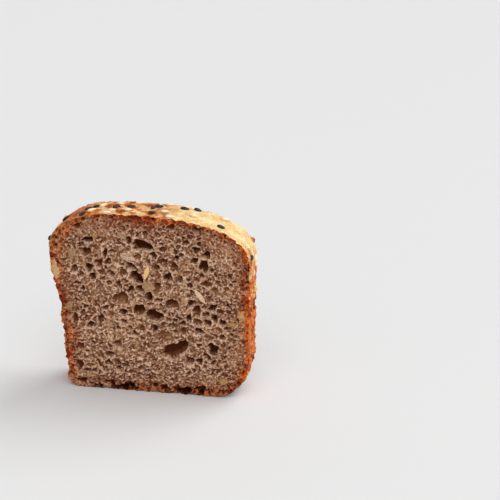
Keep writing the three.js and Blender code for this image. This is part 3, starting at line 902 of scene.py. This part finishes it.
# Colour of a cut face: painted highlight on webs and ridges, painted shade in hollows and pores, rust
# towards the crust
def sectionColour(place, fleck):
    nookShade, hollowShade, poreShade = place.painted("nookShade", "hollowShade", "poreShade")
    toast, ember, under, inside, flank = place.painted("toast", "ember", "under", "inside", "flank")
    wide, cloud = place.speckle(11), place.speckle(4)
    bran, husk = place.speckle(2.2, 3), place.speckle(3.4, 3)
    tints = dict(crumbTints)
    for name in ("rust", "tan", "orangeEdge", "tanEdge"):
        tints[name] = mix(fleck.step(0.36, 0.62), *tints[name])
    tints["under"] = mix(bran.step(0.38, 0.58), *tints["under"])
    body = coat(mix(wide.step(0.4, 0.6), *tints["crumb"]), tints, {
        "darkCloud": cloud.step(0.5, 0.36) * 0.5,
        "paleCloud": cloud.step(0.5, 0.64) * 0.45,
        # painted highlight on the ridges and on the webs between pores
        "ridgeHighlight": hollowShade.step(0.1, -0.8) * 0.4,
        "web": nookShade.step(0.0, -0.3) * fleck.step(0.34, 0.6) * 0.7,
        # painted shade in the pores
        "poreShade": poreShade.step(0.0, 0.6) * 0.7,
        "bran": bran.step(0.47, 0.36) * 0.6,
        # painted highlight in bright specks outside the pores
        "sparkleHighlight": fleck.step(0.54, 0.66) * poreShade.step(0.8, 0.2) * 0.8,
        "pit": fleck.step(0.44, 0.34) * 0.5,
        # painted shade in the nooks
        "nookShade": nookShade.step(0.0, 0.35) * 0.6,
        "husk": husk.step(0.64, 0.7) * 0.7,
        # painted shade, darkest in deep pores and at their roofs
        "roofShade": poreShade.step(0.5, 1.1) * 0.9,
        "nearCrust": inside.step(14, 2) * 0.35,
    })
    rust = coat(tints["rust"], tints, {
        "tan": wide.step(0.44, 0.58) * 0.7,
        "ember": ember * 0.9,
        "under": under * 0.9,
        # painted shade in the browned rim's nooks, hollows and pores
        "rustNookShade": nookShade.step(0.1, 0.5) * 0.6,
        "rustHollowShade": hollowShade.step(0.3, 1.1) * 0.7,
        "rustPoreShade": poreShade.step(0.4, 1.0) * 0.9,
        "orangeEdge": flank.step(0.0, 1.0) * 0.75,
        "tanEdge": flank.step(0.0, -1.0) * 0.7,
    })
    return mix(toast, body, rust)


def crumbMaterial():
    material, place, shader = newMaterial("crumb")
    fleck = place.speckle(1.1, 3)
    dress(place, shader, sectionColour(place, fleck), fleck, 0.25, 0.85, 0.05)
    return material


# Colours of the crust's skin
crustTints = {
    "skin": ((178, 92, 40), (226, 146, 78)),
    "brown": (168, 78, 30),
    "side": ((196, 88, 32), (242, 146, 80)),
    "brownSide": (164, 80, 34),
    "dark": ((174, 88, 48), (220, 136, 84)),
    "scorch": (112, 24, 0),
    "flour": ((232, 190, 124), (250, 222, 166)),
    "toastedFlour": (216, 156, 88),
    "paleFlour": (255, 240, 208),
    "sole": ((62, 28, 14), (130, 78, 50)),
}


# Colour of the skin: brown on the dome, orange on the sides, floured in places, dark on the sole, and
# lighter on the raised grain, partly as painted highlight
def crustMaterial():
    material, place, shader = newMaterial("crust")
    cut, flour, scorch, sole, dark, side = place.painted("cut", "flour", "scorch", "sole", "dark", "side")
    grain, dust, specks = place.speckle(1.3, 4), place.speckle(5, 3), place.speckle(0.8, 2)
    tints = dict(crustTints)
    # each pair is lighter where the grain's bump stands up: partly the crust's own mottling, partly painted
    # highlight on the raised grain
    for name in ("skin", "side"):
        tints[name] = mix(grain.step(0.38, 0.62), *tints[name])
    tints["side"] = mix(dust.step(0.56, 0.4) * 0.5, tints["side"], tints["brownSide"])
    tints["dark"] = mix(grain.step(0.35, 0.6), *tints["dark"])
    tints["sole"] = mix(grain.step(0.4, 0.62), *tints["sole"])
    tints["flour"] = coat(mix(dust.step(0.38, 0.62), *tints["flour"]), tints, {
        "toastedFlour": specks.step(0.44, 0.32) * 0.6,
        "paleFlour": specks.step(0.56, 0.66) * 0.7,
    })
    tints["cut"] = sectionColour(place, place.speckle(1.1, 3))
    colour = coat(tints["skin"], tints, {
        "brown": dust.step(0.56, 0.42) * 0.5,
        "side": side,
        "dark": dark * 0.8,
        "scorch": scorch * grain.step(0.8, 0.45) * 0.95,
        "flour": flour,
        "sole": sole,
        "cut": cut,
    })
    dress(place, shader, colour, grain, 0.3, 0.7, 0.1)
    return material


def seedMaterial(name, shade, light, rough):
    material, place, shader = newMaterial(name)
    colour = mix(place.speckle(1.1, 2).step(0.35, 0.65), shade, light)
    dress(place, shader, colour, place.speckle(0.35, 2), 0.04, rough, 0.3)
    return material


grainTints = {"husk": (120, 70, 38), "meal": (236, 204, 170)}  # streaks of both colours


def grainMaterial(name, look):  # for bodies that carry a tint and a warmth each
    material, place, shader = newMaterial(name)
    streak = place.speckle(0.9, 3)
    tint, warmth = place.painted("tint", "warm")
    colour = coat(mix(warmth, mix(tint, *look["cool"]), mix(tint, *look["warm"])), grainTints, {
        "husk": streak.step(0.56, 0.4) * tint.step(1.3, 0.3) * 0.5,
        "meal": streak.step(0.56, 0.68) * 0.3,
    })
    dress(place, shader, colour, streak, 0.15, 0.7, 0.1)
    return material


# Floor and light
stageLook = {
    "size": 40000.0,
    "grey": 0.8,
    "rough": 0.7,
    "world": 0.32,
    "haze": 0.5,  # how much brighter the surroundings are near the floor
    "hazeZone": (0.22, 0.06),  # as the sine of the height above it
    "key": {"turn": 28.0, "rise": 50.0, "strength": 1.7, "spread": 45.0},  # turned left from straight right
    "fill": {"turn": -72.0, "rise": 55.0, "strength": 1.12, "spread": 60.0},
}


def addSun(name, look):
    sun = bpy.data.objects.new(name, bpy.data.lights.new(name, "SUN"))
    bpy.context.collection.objects.link(sun)
    sun.data.energy = look["strength"]
    sun.data.angle = math.radians(look["spread"])
    sun.rotation_euler = (math.radians(90 - look["rise"]), 0, math.radians(look["turn"] + 90))


def buildStage(look):
    half = look["size"] / 2
    corners = [(-half, -half, 0), (half, -half, 0), (half, half, 0), (-half, half, 0)]
    floor = meshPiece("floor", corners, [(0, 1, 2, 3)])
    material, _, shader = newMaterial("floor")
    shader.inputs["Base Color"].default_value = (look["grey"],) * 3 + (1,)
    shader.inputs["Roughness"].default_value = look["rough"]
    floor.data.materials.append(material)
    world = bpy.data.worlds.new("studio")
    world.use_nodes = True
    shader = world.node_tree.nodes["Background"]
    shader.inputs["Color"].default_value = (1, 1, 1, 1)
    around = Wire(world.node_tree).node("ShaderNodeTexCoord", {}, {}, "Generated")
    height = around.node("ShaderNodeSeparateXYZ", {}, {"Vector": around}, "Z")
    strength = look["world"] + look["haze"] * height.step(*look["hazeZone"])
    world.node_tree.links.new(strength.socket, shader.inputs["Strength"])
    bpy.context.scene.world = world
    addSun("key", look["key"])
    addSun("fill", look["fill"])
    bpy.context.scene.view_settings.view_transform = "Standard"
    print("floor and light set")


placeCamera(shot)
crumbDress = crumbMaterial()
crustDress = crustMaterial()
blackDress = seedMaterial("blackSesame", *seedLook["black"])
paleDress = seedMaterial("paleSesame", *seedLook["pale"])
pieces = {  # each piece with its material and its slot
    buildCrumb("crumbFront", crumbLook, -1): (crumbDress, "bread"),
    buildCrumb("crumbBack", crumbLook, 1): (crumbDress, "bread"),
    buildCrust(crustLook): (crustDress, "bread"),
    buildSeeds("blackSesame", seedLook, blackSeeds): (blackDress, "black_sesame"),
    buildSeeds("paleSesame", seedLook, paleSeeds): (paleDress, "pale_sesame"),
    buildFlakes(flakeLook): (grainMaterial("grainFlakes", flakeLook), "grain_flakes"),
    buildSideCrumbs(sideLook): (grainMaterial("sideCrumbs", sideLook), "bread"),
}
for piece, (material, slot) in pieces.items():
    piece.data.materials.append(material)
    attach(piece, "root")
    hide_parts("slice")
    print(piece.name, "made,", len(piece.data.polygons), "faces")
buildStage(stageLook)
